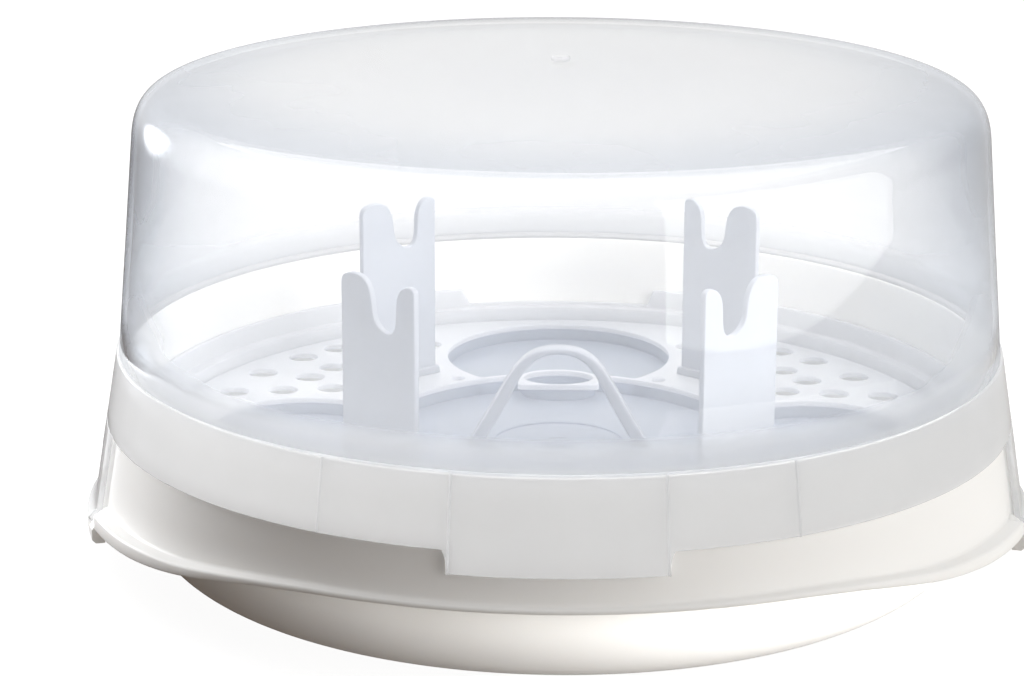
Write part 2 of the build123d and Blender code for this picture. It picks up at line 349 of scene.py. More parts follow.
def white_pp(name="white_pp_moulded", tint=(0.90, 0.89, 0.865), grain=1.0):
    m, nt, out = nodes_of(name)
    p = add(nt, "ShaderNodeBsdfPrincipled")
    big = noise(nt, 14, 3)
    fine = noise(nt, 900, 5, 0.6)
    tone = remap(nt, big, 0.2, 0.8, 0.0, 1.0)
    col = mix_colour(nt, tone, tuple(c * 0.994 for c in tint), tuple(min(c * 1.004, 1) for c in tint))
    nt.links.new(col, p.inputs["Base Color"])
    nt.links.new(remap(nt, noise(nt, 60, 4), 0.2, 0.8, 0.30, 0.35), p.inputs["Roughness"])
    nt.links.new(bump(nt, fine, 0.12 * grain, 0.00008), p.inputs["Normal"])
    p.inputs["IOR"].default_value = 1.49
    p.inputs["Subsurface Weight"].default_value = 0.12
    p.inputs["Subsurface Radius"].default_value = (0.006, 0.0055, 0.005)
    p.inputs["Subsurface Scale"].default_value = 0.6
    nt.links.new(p.outputs[0], out.inputs["Surface"])
    return m


def film(name, haze=0.05, edge=0.35, power=3.0, thin=(0.985, 0.99, 0.995), thick=(0.62, 0.68, 0.76),
         body=(0.93, 0.95, 0.98), through=0.45, gloss_rough=0.04, bands=(), grain=0.0, wave=0.0, f0=0.024,
         crown=None, shoulder=None):
    """Wall of translucent plastic: lets light through with a tint that deepens at grazing angles,
    scatters a milky share of it, and has a gloss that grows towards the edges."""
    m, nt, out = nodes_of(name)
    lw = add(nt, "ShaderNodeLayerWeight", Blend=0.5)
    facing = lw.outputs["Facing"]
    clear = add(nt, "ShaderNodeBsdfTransparent")
    # grazing tint set by height: a painted dark bluish shade band over the shoulder and a painted lighter grey over
    # the crown
    if crown:
        level = nt.nodes.new("ShaderNodeSeparateXYZ")
        nt.links.new(coords(nt), level.inputs[0])
        round_ = mix_colour(nt, remap(nt, level.outputs["Z"], 0.100, 0.128, 0.0, 1.0), thick, shoulder)
        thick = mix_colour(nt, remap(nt, level.outputs["Z"], 0.1455, 0.1505, 0.0, 1.0), round_, crown)
    nt.links.new(mix_colour(nt, math_node(nt, "POWER", facing, 3.0), thin, thick), clear.inputs["Color"])
    dif = add(nt, "ShaderNodeBsdfDiffuse", Color=(*body, 1))
    tra = add(nt, "ShaderNodeBsdfTranslucent", Color=(*body, 1))
    milk = add(nt, "ShaderNodeMixShader", Fac=through)
    nt.links.new(dif.outputs[0], milk.inputs[1])
    nt.links.new(tra.outputs[0], milk.inputs[2])
    h = math_node(nt, "MULTIPLY", math_node(nt, "POWER", facing, power), edge)
    h = math_node(nt, "ADD", h, haze)
    h = math_node(nt, "MULTIPLY", h, remap(nt, noise(nt, 22, 2), 0.0, 1.0, 0.92, 1.08))
    if bands:
        sep = nt.nodes.new("ShaderNodeSeparateXYZ")
        nt.links.new(coords(nt), sep.inputs[0])
        for lo, hi, at_lo, at_hi in bands:
            h = math_node(nt, "ADD", h, remap(nt, sep.outputs["Z"], lo, hi, at_lo, at_hi))
    h = math_node(nt, "MINIMUM", h, 0.97)
    core = add(nt, "ShaderNodeMixShader")
    nt.links.new(h, core.inputs[0])
    nt.links.new(clear.outputs[0], core.inputs[1])
    nt.links.new(milk.outputs[0], core.inputs[2])
    gl = add(nt, "ShaderNodeBsdfAnisotropic", Color=(1, 1, 1, 1))
    nt.links.new(remap(nt, noise(nt, 35, 2), 0.0, 1.0, gloss_rough * 0.7, gloss_rough * 1.3), gl.inputs["Roughness"])
    if grain or wave:
        hgt = noise(nt, 1100, 4, 0.6) if grain else noise(nt, 18, 2)
        nrm = bump(nt, hgt, grain or wave, 0.00006 if grain else 0.0009)
        nt.links.new(nrm, gl.inputs["Normal"])
    fr = math_node(nt, "MULTIPLY", math_node(nt, "POWER", facing, 5.0), 0.72 - f0)
    fr = math_node(nt, "ADD", fr, f0)
    top = add(nt, "ShaderNodeMixShader")
    nt.links.new(fr, top.inputs[0])
    nt.links.new(core.outputs[0], top.inputs[1])
    nt.links.new(gl.outputs[0], top.inputs[2])
    nt.links.new(top.outputs[0], out.inputs["Surface"])
    return m


M_BASE = white_pp()
# the dome's shoulder tint is a painted dark bluish shade band, its crown tint a painted lighter grey
M_DOME = film("clear_pp_dome", haze=0.17, edge=0.20, power=2.5, wave=0.0, gloss_rough=0.03, through=0.55,
              thin=(0.994, 0.995, 0.997), thick=(0.47, 0.53, 0.61), body=(0.972, 0.975, 0.98), crown=(0.59, 0.585, 0.58),
              shoulder=(0.12, 0.18, 0.27),
              bands=[(0.0715, 0.0770, 0.25, 0.0), (0.070, 0.105, 0.05, 0.0)])
M_COLLAR = film("frosted_pp_collar", haze=0.44, edge=0.34, power=2.0, gloss_rough=0.2, grain=0.12,
                thin=(0.90, 0.90, 0.905), thick=(0.58, 0.60, 0.63), body=(0.90, 0.905, 0.91))
M_LATCH = film("frosted_pp_latch", haze=0.40, edge=0.40, power=2.0, gloss_rough=0.14, grain=0.1,
               thin=(0.90, 0.90, 0.905), thick=(0.58, 0.60, 0.63), body=(0.90, 0.905, 0.91))
M_RACK = film("milky_pp_rack", haze=0.55, edge=0.35, power=2.0, gloss_rough=0.16, grain=0.03,
              thin=(0.94, 0.95, 0.965), thick=(0.60, 0.64, 0.70), body=(0.92, 0.925, 0.94))
# darker body and tint than the rack: painted shade in the recessed wells, their floor, walls, vent tubes and ridge
# walls
M_WELL_SHADED = film("milky_pp_wells_shaded", haze=0.50, edge=0.30, power=2.0, gloss_rough=0.16, grain=0.03,
              thin=(0.80, 0.83, 0.88), thick=(0.52, 0.57, 0.66), body=(0.60, 0.64, 0.71))
# darker body and tint than the rack: painted shade on the posts, their feet and the lifting arch
M_POST_SHADED = film("milky_pp_post_shaded", haze=0.74, edge=0.20, power=2.0, gloss_rough=0.16, grain=0.03, through=0.18,
              thin=(0.84, 0.86, 0.90), thick=(0.60, 0.64, 0.70), body=(0.62, 0.645, 0.69))


def paint(ob, mat):
    ob.data.materials.clear()
    ob.data.materials.append(mat)


def repaint(node, mat):
    for s in NODES[node].material_slots:
        s.material = mat


# ------------------------------------------------------------------ base
def arc(cx, cz, r, a0, a1, n):
    return [(cx + r * math.sin(math.radians(a0 + (a1 - a0) * k / n)),
             cz - r * math.cos(math.radians(a0 + (a1 - a0) * k / n))) for k in range(n + 1)]


bowl = ([(0, 1.0), (60, 1.0)] + rounded([(101.6, 1.0), (102.6, 0.0)], 0)
        + arc(FOOT_R, BOWL_ROUND, BOWL_ROUND, 0, 90, 28)
        + [(132.7, 38.0), (134.58, 57.0), (134.58, RIM_Z - 0.2), (134.45, RIM_Z), (133.6, RIM_Z),
           (133.25, RIM_Z - 0.15), (133.02, RIM_Z - 0.6), (132.5, 52.0), (SHELF_R + 0.03, SHELF_Z + 0.5),
           (SHELF_R - 0.15, SHELF_Z + 0.08), (SHELF_R - 0.5, SHELF_Z), (130.75, SHELF_Z),
           (130.45, SHELF_Z - 0.12), (130.36, SHELF_Z - 0.6)]
        + arc(FOOT_R, BOWL_ROUND, BOWL_ROUND - 2.2, 90, 0, 24)
        + [(60, 2.6), (0, 2.8)])
ob = lathe("bowl", bowl, "base", "white_pp", "base_bowl")
paint(ob, M_BASE)


def skirt_section(deg):
    a = math.radians(deg)
    x = math.cos(a)
    side = abs(((deg + 90) % 180) - 90)          # degrees from the nearest latch
    xx = abs(x) * (RIM_R + 7)
    zl = table(WAVE, xx)
    h = table(LIP_H, xx)
    re = 1.0 / math.hypot(math.cos(a) / LIP_X, math.sin(a) / LIP_Y)
    k = smooth(GRIP_OUT - 0.3, GRIP_OUT + 0.3, side)     # no lip inside the grip
    zu = zl + h * k + 0.9 * (1 - k)
    out = rs(zl + h * 0.5) * (1 - k) + re * k
    out = max(out, rs(zl) + 0.02)
    r_top, r_low = rs(zu), rs(zl)
    lip = out - r_top
    f = min(0.8, max(lip * 0.45, 0.02), h * 0.4)
    pts = [(134.62, RIM_Z - 0.05), (134.75, RIM_Z), (134.95, RIM_Z - 0.03), (rs(RIM_Z - 0.25) - 0.08, RIM_Z - 0.2),
           (rs(RIM_Z - 0.6), RIM_Z - 0.6)]
    for t in (0.2, 0.4, 0.6, 0.8):
        z = RIM_Z - 0.6 + (zu + 1.0 - RIM_Z + 0.6) * t
        pts.append((rs(z), z))
    pts += [(rs(zu + 0.9 * k + 0.1), zu + 0.9 * k + 0.1), (rs(zu + 0.3) + 0.12 * k, zu + 0.3 * k + 0.04),
            (r_top + min(0.5, lip * 0.4) * k, zu + 0.02)]
    pts += [(out - f, zu), (out - f * 0.3, zu - f * 0.3), (out, zu - f), (out, zl + f * 0.8),
            (out - f * 0.25, zl + f * 0.25), (out - f * 0.8, zl)]
    inner = r_low - SKIRT_T
    pts += [(inner + 0.4, zl), (inner + 0.1, zl + 0.1), (rs(zl + 0.4) - SKIRT_T, zl + 0.4)]
    for t in (0.33, 0.66):
        z = zl + 0.4 + (57 - zl - 0.4) * t
        pts.append((rs(z) - SKIRT_T, z))
    pts += [(rs(57) - SKIRT_T, 57), (134.62, 57.4)]
    return pts


ob = wrap("skirt", skirt_section, "base", "white_pp", "base_skirt", n=1080)
paint(ob, M_BASE)
for n in ("base_grip_left", "base_grip_right", "base_lug_left", "base_lug_right"):
    repaint(n, M_BASE)

# ------------------------------------------------------------------ rack
def plate(name, loops, z0, z1, round_, body, slot, *replaced, steps=2):
    """Flat plate between two heights; the first loop is its outline, the others its holes. Rounded edges."""
    cu = bpy.data.curves.new(name, "CURVE")
    cu.dimensions = "2D"
    cu.fill_mode = "BOTH"
    cu.extrude = ((z1 - z0) / 2 - round_) * MM
    cu.bevel_depth = round_ * MM
    cu.bevel_resolution = steps
    cu.offset = -round_ * MM
    for loop in loops:
        sp = cu.splines.new("POLY")
        sp.points.add(len(loop) - 1)
        for q, (x, y) in zip(sp.points, loop):
            q.co = (x * MM, y * MM, 0, 1)
        sp.use_cyclic_u = True
    tmp = bpy.data.objects.new(name + "_curve", cu)
    bpy.context.scene.collection.objects.link(tmp)
    bpy.context.view_layer.update()
    me = bpy.data.meshes.new_from_object(tmp.evaluated_get(bpy.context.evaluated_depsgraph_get()))
    bpy.data.objects.remove(tmp)
    bpy.data.curves.remove(cu)
    me.name = name
    me.materials.clear()
    bm = bmesh.new()
    bm.from_mesh(me)
    bmesh.ops.remove_doubles(bm, verts=bm.verts, dist=2e-6)
    bmesh.ops.translate(bm, verts=bm.verts, vec=(0, 0, (z0 + z1) / 2 * MM))
    bmesh.ops.recalc_face_normals(bm, faces=bm.faces)
    for f in bm.faces:
        f.smooth = abs(f.normal.z) < 0.999
    bm.to_mesh(me)
    bm.free()
    ob = bpy.data.objects.new(name, me)
    bpy.context.scene.collection.objects.link(ob)
    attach(ob, body)
    if replaced:
        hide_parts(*replaced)
    return ob


def circle(x, y, rx, ry=None, n=40):
    ry = rx if ry is None else ry
    return [(x + rx * math.cos(2 * math.pi * k / n), y + ry * math.sin(2 * math.pi * k / n)) for k in range(n)]


def wells_outline(grow):
    """Outline of the centre well and the four wells that open into it."""
    rc_ = CENTRE_WELL_R + grow
    pts = []
    wells = [(0, SIDE_WELL), (90, END_WELL), (180, SIDE_WELL), (270, END_WELL)]
    cusps = []
    for phi, (c, r) in wells:
        r += grow
        xc = (rc_ ** 2 - r ** 2 + c ** 2) / (2 * c)
        yc = math.sqrt(rc_ ** 2 - xc ** 2)
        cusps.append((c, r, xc, yc))
    for i, (phi, _) in enumerate(wells):
        c, r, xc, yc = cusps[i]
        beta = math.pi - math.atan2(yc, c - xc)
        cp_, sp_ = math.cos(math.radians(phi)), math.sin(math.radians(phi))
        for k in range(73):
            t = -beta + 2 * beta * k / 72
            x, y = c + r * math.cos(t), r * math.sin(t)
            pts.append((x * cp_ - y * sp_, x * sp_ + y * cp_))
        _, _, xn, yn = cusps[(i + 1) % 4]
        g0 = math.radians(phi) + math.atan2(yc, xc)
        g1 = math.radians(phi + 90) - math.atan2(yn, xn)
        for k in range(1, 12):
            g = g0 + (g1 - g0) * k / 12
            pts.append((rc_ * math.cos(g), rc_ * math.sin(g)))
    return pts


def turned(pts, k):
    """Points turned by k quarter turns."""
    for _ in range(k % 4):
        pts = [(-y, x) for x, y in pts]
    return pts


def spot(r, deg):
    return (r * math.cos(math.radians(deg)), r * math.sin(math.radians(deg)))


def centre_opening():
    """The centre well's edge at deck level, with the straight-edged plates round the vents."""
    pts = []
    d, w = TAB_X
    g = math.degrees(math.asin(w / CENTRE_WELL_R))
    for k in range(4):
        tab = rounded([spot(CENTRE_WELL_R, -g), (d, -w), (d, w), spot(CENTRE_WELL_R, g)], [0, 1.0, 1.0, 0], steps=4)
        pts += turned(tab, k)
        pts += [spot(CENTRE_WELL_R, 90 * k + g + (90 - 2 * g) * i / 40) for i in range(1, 40)]
    return pts


def well_opening(k, c, r):
    """An outer well's edge at deck level, cut off by the ridge and the vent's plate."""
    xc = (RIDGE_R ** 2 - r ** 2 + c ** 2) / (2 * c)
    yc = math.sqrt(RIDGE_R ** 2 - xc ** 2)
    beta = math.atan2(yc, xc - c)
    pts = [(c + r * math.cos(beta - 2 * beta * i / 90), r * math.sin(beta - 2 * beta * i / 90)) for i in range(91)]
    bump_ = []
    for i in range(61):
        t = math.radians(-90 + 3 * i)
        x, y = VENT_C + (VENT[1] + 1.8) * math.cos(t), (VENT[0] + 1.8) * math.sin(t)
        if math.hypot(x, y) > RIDGE_R + 0.02:
            bump_.append((x, y))
    g0, g1 = math.degrees(math.atan2(yc, xc)), math.degrees(math.atan2(bump_[-1][1], bump_[-1][0]))
    pts += [spot(RIDGE_R, -g0 + (g0 - g1) * i / 16) for i in range(1, 16)]
    pts += bump_
    pts += [spot(RIDGE_R, g1 + (g0 - g1) * i / 16) for i in range(1, 16)]
    return turned(pts, k)


WELLS = (("right", 0, SIDE_WELL), ("back", 1, END_WELL), ("left", 2, SIDE_WELL), ("front", 3, END_WELL))
vents = [turned(circle(VENT_C, 0, VENT[1], VENT[0], 64), k) for k in range(4)]
holes = [circle(sx * x, sy * y, HOLE_R) for x, y in HOLES for sx in (1, -1) for sy in (1, -1)]
holes += [circle(sx * x, sy * y, CUSP_HOLE_R, n=28) for x, y in CUSP_HOLES for sx in (1, -1) for sy in (1, -1)]
ob = plate("deck_plate", [circle(0, 0, DECK_R, n=288), centre_opening()] + [well_opening(k, c, r) for _, k, (c, r) in WELLS]
           + vents + holes, DECK_Z - DECK_T, DECK_Z, 0.35, "rack", "rack_pp", "rack_deck")
paint(ob, M_RACK)
ob = plate("wells_floor", [wells_outline(DECK_T)] + vents, WELL_Z - DECK_T, WELL_Z, 0.35, "rack", "rack_pp",
           "rack_well_centre", "rack_well_left", "rack_well_right", "rack_well_front", "rack_well_back")
# painted shade: the recessed well floor takes the darker wells material
paint(ob, M_WELL_SHADED)
low, top_ = WELL_Z - 0.12, DECK_Z - DECK_T + 0.08
for name, k, (c, r) in WELLS:
    ob = plate(f"vent_tube_{name}", [turned(circle(VENT_C, 0, VENT[1] + 1.0, VENT[0] + 1.0, 72), k), vents[k]], low, top_,
               0.05, "rack", "rack_pp", steps=1)
    paint(ob, M_WELL_SHADED)
    # outer wall of the well, up to the ridge
    xm = (58.4 ** 2 - (r + 0.9) ** 2 + c ** 2) / (2 * c)
    beta = math.atan2(math.sqrt(58.4 ** 2 - xm ** 2), xm - c)
    arc_ = [-beta + 2 * beta * i / 96 for i in range(97)]
    wall = [(c + (r + DECK_T) * math.cos(t), (r + DECK_T) * math.sin(t)) for t in arc_]
    wall += [(c + r * math.cos(t), r * math.sin(t)) for t in reversed(arc_)]
    ob = plate(f"well_wall_{name}", [turned(wall, k)], low, top_, 0.05, "rack", "rack_pp", steps=1)
    paint(ob, M_WELL_SHADED)
    g = [10.6 + (90 - 21.2) * i / 48 for i in range(49)]
    ridge = [spot(RIDGE_R, 90 * k + t) for t in g] + [spot(CENTRE_WELL_R, 90 * k + t) for t in reversed(g)]
    ob = plate(f"ridge_wall_{k + 1}", [ridge], low, top_, 0.05, "rack", "rack_pp", steps=1)
    paint(ob, M_WELL_SHADED)
ob = lathe("floor_ring", [(20.5, WELL_Z - 0.1), (21.7, WELL_Z - 0.1), (21.55, WELL_Z + 0.35), (21.3, WELL_Z + 0.5),
                          (20.9, WELL_Z + 0.5), (20.65, WELL_Z + 0.35)], "rack", "rack_pp", n=144)
paint(ob, M_WELL_SHADED)
ob = lathe("floor_gate", [(0, WELL_Z - 0.1), (4.8, WELL_Z - 0.1), (4.6, WELL_Z + 0.4), (4.3, WELL_Z + 0.6),
                          (2.0, WELL_Z + 0.45), (0, WELL_Z + 0.4)], "rack", "rack_pp", n=64, close=False)
paint(ob, M_WELL_SHADED)


def rim_section(deg):
    a = math.radians(deg)
    x = abs(RACK_R * math.cos(a))
    top = RACK_GAP + (RACK_TOP - RACK_GAP) * smooth(GAP_HALF - 1.2, GAP_HALF + 1.2, x)
    return rounded([(DECK_R + 0.02, DECK_Z - DECK_T), (DECK_R + 1.8, DECK_Z - DECK_T), (DECK_R + 1.8, SHELF_Z),
                    (RACK_R, SHELF_Z), (RACK_R, top), (RACK_R - 1.8, top),
                    (RACK_R - 1.8, SHELF_Z + 1.8), (DECK_R + 0.02, SHELF_Z + 1.8)],
                   [0, 0.4, 0.3, 0.3, 0.6, 0.6, 0.5, 0.5], steps=3)


ob = wrap("rack_edge", rim_section, "rack", "rack_pp", "rack_rim", n=720)
paint(ob, M_RACK)

# notched posts
POST_IN, POST_OUT = (44.2, 57.3), (62.3, 42.2)
pz, po, NOTCH = DECK_Z, 98.0, 81.8


def arc3(a, b, c, n=8):
    """Points on the circle through three points, a to c, in order."""
    ax, ay, bx, by, cx, cy = *a, *b, *c
    d = 2 * (ax * (by - cy) + bx * (cy - ay) + cx * (ay - by))
    ux = ((ax * ax + ay * ay) * (by - cy) + (bx * bx + by * by) * (cy - ay) + (cx * cx + cy * cy) * (ay - by)) / d
    uy = ((ax * ax + ay * ay) * (cx - bx) + (bx * bx + by * by) * (ax - cx) + (cx * cx + cy * cy) * (bx - ax)) / d
    r = math.hypot(ax - ux, ay - uy)
    t0, t1, t2 = (math.atan2(p[1] - uy, p[0] - ux) for p in (a, b, c))
    while t1 - t0 > math.pi: t1 -= 2 * math.pi
    while t1 - t0 < -math.pi: t1 += 2 * math.pi
    while t2 - t1 > math.pi: t2 -= 2 * math.pi
    while t2 - t1 < -math.pi: t2 += 2 * math.pi
    return [(ux + r * math.cos(t0 + (t2 - t0) * k / n), uy + r * math.sin(t0 + (t2 - t0) * k / n))
            for k in range(n + 1)]


def catmull(pts, n=6, ends=True):
    out = []
    p = [pts[0]] + list(pts) + [pts[-1]]
    for i in range(1, len(p) - 2):
        for k in range(n):
            t = k / n
            out.append(tuple(0.5 * (2 * p[i][c] + (p[i + 1][c] - p[i - 1][c]) * t
                                    + (2 * p[i - 1][c] - 5 * p[i][c] + 4 * p[i + 1][c] - p[i + 2][c]) * t * t
                                    + (3 * p[i][c] - p[i - 1][c] - 3 * p[i + 1][c] + p[i + 2][c]) * t ** 3)
                             for c in (0, 1)))
    out.append(tuple(pts[-1]))
    return out


post_outline = ([(-3.2, pz - 0.02), (26.4, pz - 0.02), (26.4, 94.6)]
                + catmull([(26.4, 95.0), (25.7, 96.6), (24.3, 97.5), (22.0, po), (19.6, 97.9), (17.6, 97.3), (16.0, 96.1),
                           (14.8, 94.2), (14.1, 91.8), (13.7, 89.0), (13.3, 86.4), (12.4, 84.4), (10.9, 82.9),
                           (8.9, 81.9), (7.0, NOTCH), (5.6, 82.5), (4.7, 84.2), (4.3, 86.6), (4.1, 90.6), (3.7, 93.3),
                           (2.5, 95.6), (0.9, 96.8), (-0.6, 97.2), (-2.0, 97.0), (-3.0, 96.2), (-3.2, 95.0)], 4))
ang = math.atan2(POST_OUT[1] - POST_IN[1], POST_OUT[0] - POST_IN[0])
for name, sx, sy in (("back_right", 1, 1), ("back_left", -1, 1), ("front_right", 1, -1), ("front_left", -1, -1)):
    m = (Matrix.Diagonal((sx, sy, 1, 1)) @ Matrix.Translation((POST_IN[0] * MM, POST_IN[1] * MM, 0))
         @ Matrix.Rotation(ang, 4, "Z"))
    ob = extruded(f"post_{name}_plate", post_outline, 2.2, m, "rack", "rack_pp", f"post_{name}", bevel=0.45)
    paint(ob, M_POST_SHADED)
    foot = rounded([(-4.6, pz - 0.02), (27.8, pz - 0.02), (27.4, pz + 2.8), (-4.2, pz + 2.8)], [0, 0, 1.0, 1.0])
    ob = extruded(f"post_{name}_foot", foot, 4.0, m, "rack", "rack_pp", bevel=0.6)
    paint(ob, M_POST_SHADED)

# lifting arch
half_o = [(-28.7, WELL_Z), (-21.0, 44.2), (-14.2, 55.8), (-8.0, 61.3), (0, 62.8)]
half_i = [(-24.0, WELL_Z), (-17.0, 43.4), (-11.2, 54.4), (-6.3, 59.3), (0, 60.9)]
full_o = half_o + [(-x, z) for x, z in reversed(half_o[:-1])]
full_i = half_i + [(-x, z) for x, z in reversed(half_i[:-1])]
o_pts, i_pts = catmull(full_o, 10), catmull(full_i, 10)
verts, faces = [], []
cols = len(o_pts)
HALF_D = 3.1
for (ox, oz), (ix, iz) in zip(o_pts, i_pts):
    sec = rounded([(0, -HALF_D), (1, -HALF_D), (1, HALF_D), (0, HALF_D)], 0)
    # section runs from the outside (0) to the inside (1) and along Y, with rounded corners
    t = math.hypot(ix - ox, iz - oz)
    loop = rounded([(0, -HALF_D), (t, -HALF_D), (t, HALF_D), (0, HALF_D)], 0.9, steps=4)
    for s, y in loop:
        f = s / t
        verts.append((ox + (ix - ox) * f, y, oz + (iz - oz) * f))
m_ = len(verts) // cols
for k in range(cols - 1):
    for i in range(m_):
        j = (i + 1) % m_
        faces.append((k * m_ + i, (k + 1) * m_ + i, (k + 1) * m_ + j, k * m_ + j))
faces.append(tuple(range(m_)))
faces.append(tuple(reversed(range((cols - 1) * m_, cols * m_))))
ob = new_object("lifting_arch", verts, faces, "rack", "rack_pp", "rack_handle")
# painted shade: the arch takes the posts' darker material
paint(ob, M_POST_SHADED)

# ------------------------------------------------------------------ lid
def bezier(p0, p1, p2, p3, n):
    out = []
    for k in range(n + 1):
        t = k / n
        out.append(tuple((1 - t) ** 3 * p0[c] + 3 * (1 - t) ** 2 * t * p1[c] + 3 * (1 - t) * t * t * p2[c]
                         + t ** 3 * p3[c] for c in (0, 1)))
    return out


wt, si = (130.9, 133.5), (119.0, 146.6)
outer = [(DOME_R, LEDGE_Z + 0.02), (135.3, 83.2), (133.8, 100.0), (132.35, 116.8)] + bezier(wt, (130.2, 142.2), (126.6, 146.0), si, 22)
outer += arc3(si, (60.5, 152.5), (0.0, CROWN_Z), 26)[1:]
inner = arc3((0.0, CROWN_Z - DOME_T), (60.3, 150.5), (118.2, si[1] - DOME_T), 26)
inner += bezier((118.2, si[1] - DOME_T), (124.8, 143.9), (128.1, 140.9), (wt[0] - DOME_T, wt[1]), 22)[1:]
inner += [(130.35, 116.8), (131.8, 100.0), (133.3, 83.2), (DOME_R - DOME_T, LEDGE_Z + 0.02)]
outer[-1] = (0.0, CROWN_Z)
inner[0] = (0.0, CROWN_Z - DOME_T)
ob = lathe("dome", outer + inner, "lid", "clear_pp", "lid_dome", n=360)
paint(ob, M_DOME)
gate = rounded([(0, CROWN_Z - 0.4), (GATE_R + 0.5, CROWN_Z - 0.4), (GATE_R, CROWN_Z + GATE_H), (0, CROWN_Z + GATE_H * 0.7)],
               [0, 0, 0.4, 0], steps=4)
ob = lathe("dome_gate", gate, "lid", "clear_pp", n=48)
paint(ob, M_DOME)


def collar_section(deg):
    off = min(abs(((deg - 90 + 180) % 360) - 180), abs(((deg + 90 + 180) % 360) - 180))
    low = COLLAR_Z + (TAB_Z - COLLAR_Z) * (1 - smooth(TAB_HALF - 0.35, TAB_HALF + 0.55, off))
    pts = [(133.62, RIM_Z + 0.1), (rc(RIM_Z + 0.1) - COLLAR_T, RIM_Z + 0.1)]
    for t in (0.35, 0.7):
        z = RIM_Z + (COLLAR_Z + 1 - RIM_Z) * t
        pts.append((rc(z) - COLLAR_T, z))
    pts += [(rc(low + 0.5) - COLLAR_T, low + 0.5), (rc(low) - COLLAR_T + 0.12, low + 0.12),
            (rc(low) - COLLAR_T + 0.45, low), (rc(low) - 0.45, low), (rc(low) - 0.1, low + 0.1),
            (rc(low + 0.4), low + 0.4)]
    for t in (0.25, 0.5, 0.75):
        z = COLLAR_Z + (LEDGE_Z - 0.6 - COLLAR_Z) * t
        pts.append((rc(z), z))
    pts += [(rc(LEDGE_Z - 0.5), LEDGE_Z - 0.5), (COLLAR_R - 0.05, LEDGE_Z - 0.12), (COLLAR_R - 0.3, LEDGE_Z),
            (DOME_R - 0.2, LEDGE_Z), (133.62, LEDGE_Z)]
    return pts


ob = wrap("collar", collar_section, "lid", "frosted_pp", "lid_collar", "lid_front_tab", "lid_rear_tab", n=1080)
paint(ob, M_COLLAR)

# vertical ribs of the collar
for centre in (-90, 90):
    for off, low in ((-TAB_HALF, TAB_Z), (TAB_HALF, TAB_Z), (-28.3, COLLAR_Z), (28.3, COLLAR_Z)):
        sign = 1 if off > 0 else -1
        a = centre + off - sign * 0.12

        def rib(deg, a=a, low=low):
            f = 1 - abs(deg - a) / 0.17
            h = (0.5 if abs(off) < 20 else 0.22) * math.sqrt(max(f, 0.0))
            pts = []
            for t in (0, 0.02, 0.25, 0.5, 0.75, 0.98, 1):
                z = low + (LEDGE_Z - 0.4 - low) * t
                e = 0.3 if t in (0, 1) else 1.0
                pts.append((rc(z) + h * e, z))
            pts += [(rc(LEDGE_Z - 0.4) - 0.3, LEDGE_Z - 0.4), (rc(low) - 0.3, low)]
            return pts
        ob = wrap(f"collar_rib_{'front' if centre < 0 else 'rear'}_{int(off)}".replace("-", "m"), rib, "lid",
                  "frosted_pp", n=8, a0=a - 0.17, a1=a + 0.17)
        paint(ob, M_COLLAR)


# side latches
def latch(name, centre, node):
    """Sector of the collar's cone with a window, thick, curled outwards at its foot."""
    na, rows = 52, []
    zs = [LATCH_TOP, 42, 39, WINDOW[1] + 1.2, WINDOW[1], 32, 28, 24, WINDOW[0], WINDOW[0] - 0.9, 17.6, 16.6, 15.8, 15.2, 14.8]
    def mid(z):
        r = rc(z) - COLLAR_T + LATCH_T / 2
        curl = max(0.0, 18.6 - z)
        return r + 0.21 * curl ** 1.75
    bm = bmesh.new()
    grid = []
    angles = [-LATCH_HALF + 2 * LATCH_HALF * k / na for k in range(na + 1)]
    # put two columns exactly on the window's sides
    for target in (-WINDOW_HALF, WINDOW_HALF):
        i = min(range(len(angles)), key=lambda q: abs(angles[q] - target))
        angles[i] = target
    for z in zs:
        row = []
        for d in angles:
            e = smooth(LATCH_HALF - 1.6, LATCH_HALF, abs(d))
            zz = z + (1.6 * e * e if z < 16.7 else 0.0)
            r = mid(min(z, zz) if z < 16.7 else z)
            a = math.radians(centre + d)
            row.append(bm.verts.new((r * math.cos(a) * MM, r * math.sin(a) * MM, zz * MM)))
        grid.append(row)
    for i in range(len(zs) - 1):
        for k in range(na):
            mid_a = (angles[k] + angles[k + 1]) / 2
            mid_z = (zs[i] + zs[i + 1]) / 2
            if abs(mid_a) < WINDOW_HALF and WINDOW[0] < mid_z < WINDOW[1]:
                continue
            bm.faces.new((grid[i][k], grid[i][k + 1], grid[i + 1][k + 1], grid[i + 1][k]))
    bmesh.ops.recalc_face_normals(bm, faces=bm.faces)
    # normals outwards
    f = bm.faces[0] if hasattr(bm.faces, "ensure_lookup_table") and not bm.faces.ensure_lookup_table() else bm.faces[0]
    c = f.calc_center_median()
    if f.normal.x * c.x + f.normal.y * c.y < 0:
        bmesh.ops.reverse_faces(bm, faces=bm.faces)
    loose = [v for v in bm.verts if not v.link_faces]
    bmesh.ops.delete(bm, geom=loose, context="VERTS")
    me = bpy.data.meshes.new(name)
    bm.to_mesh(me)
    bm.free()
    for p in me.polygons:
        p.use_smooth = True
    ob = bpy.data.objects.new(name, me)
    bpy.context.scene.collection.objects.link(ob)
    s = ob.modifiers.new("thick", "SOLIDIFY")
    s.thickness = (LATCH_T - 0.1) * MM
    s.offset = 0
    s.use_even_offset = True
    b = ob.modifiers.new("round", "BEVEL")
    b.width = 0.45 * MM
    b.segments = 3
    b.limit_method = "ANGLE"
    b.angle_limit = math.radians(50)
    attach(ob, node)
    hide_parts(node)
    paint(ob, M_LATCH)
    return ob


latch("latch_flap_right", 0, "latch_right")
latch("latch_flap_left", 180, "latch_left")

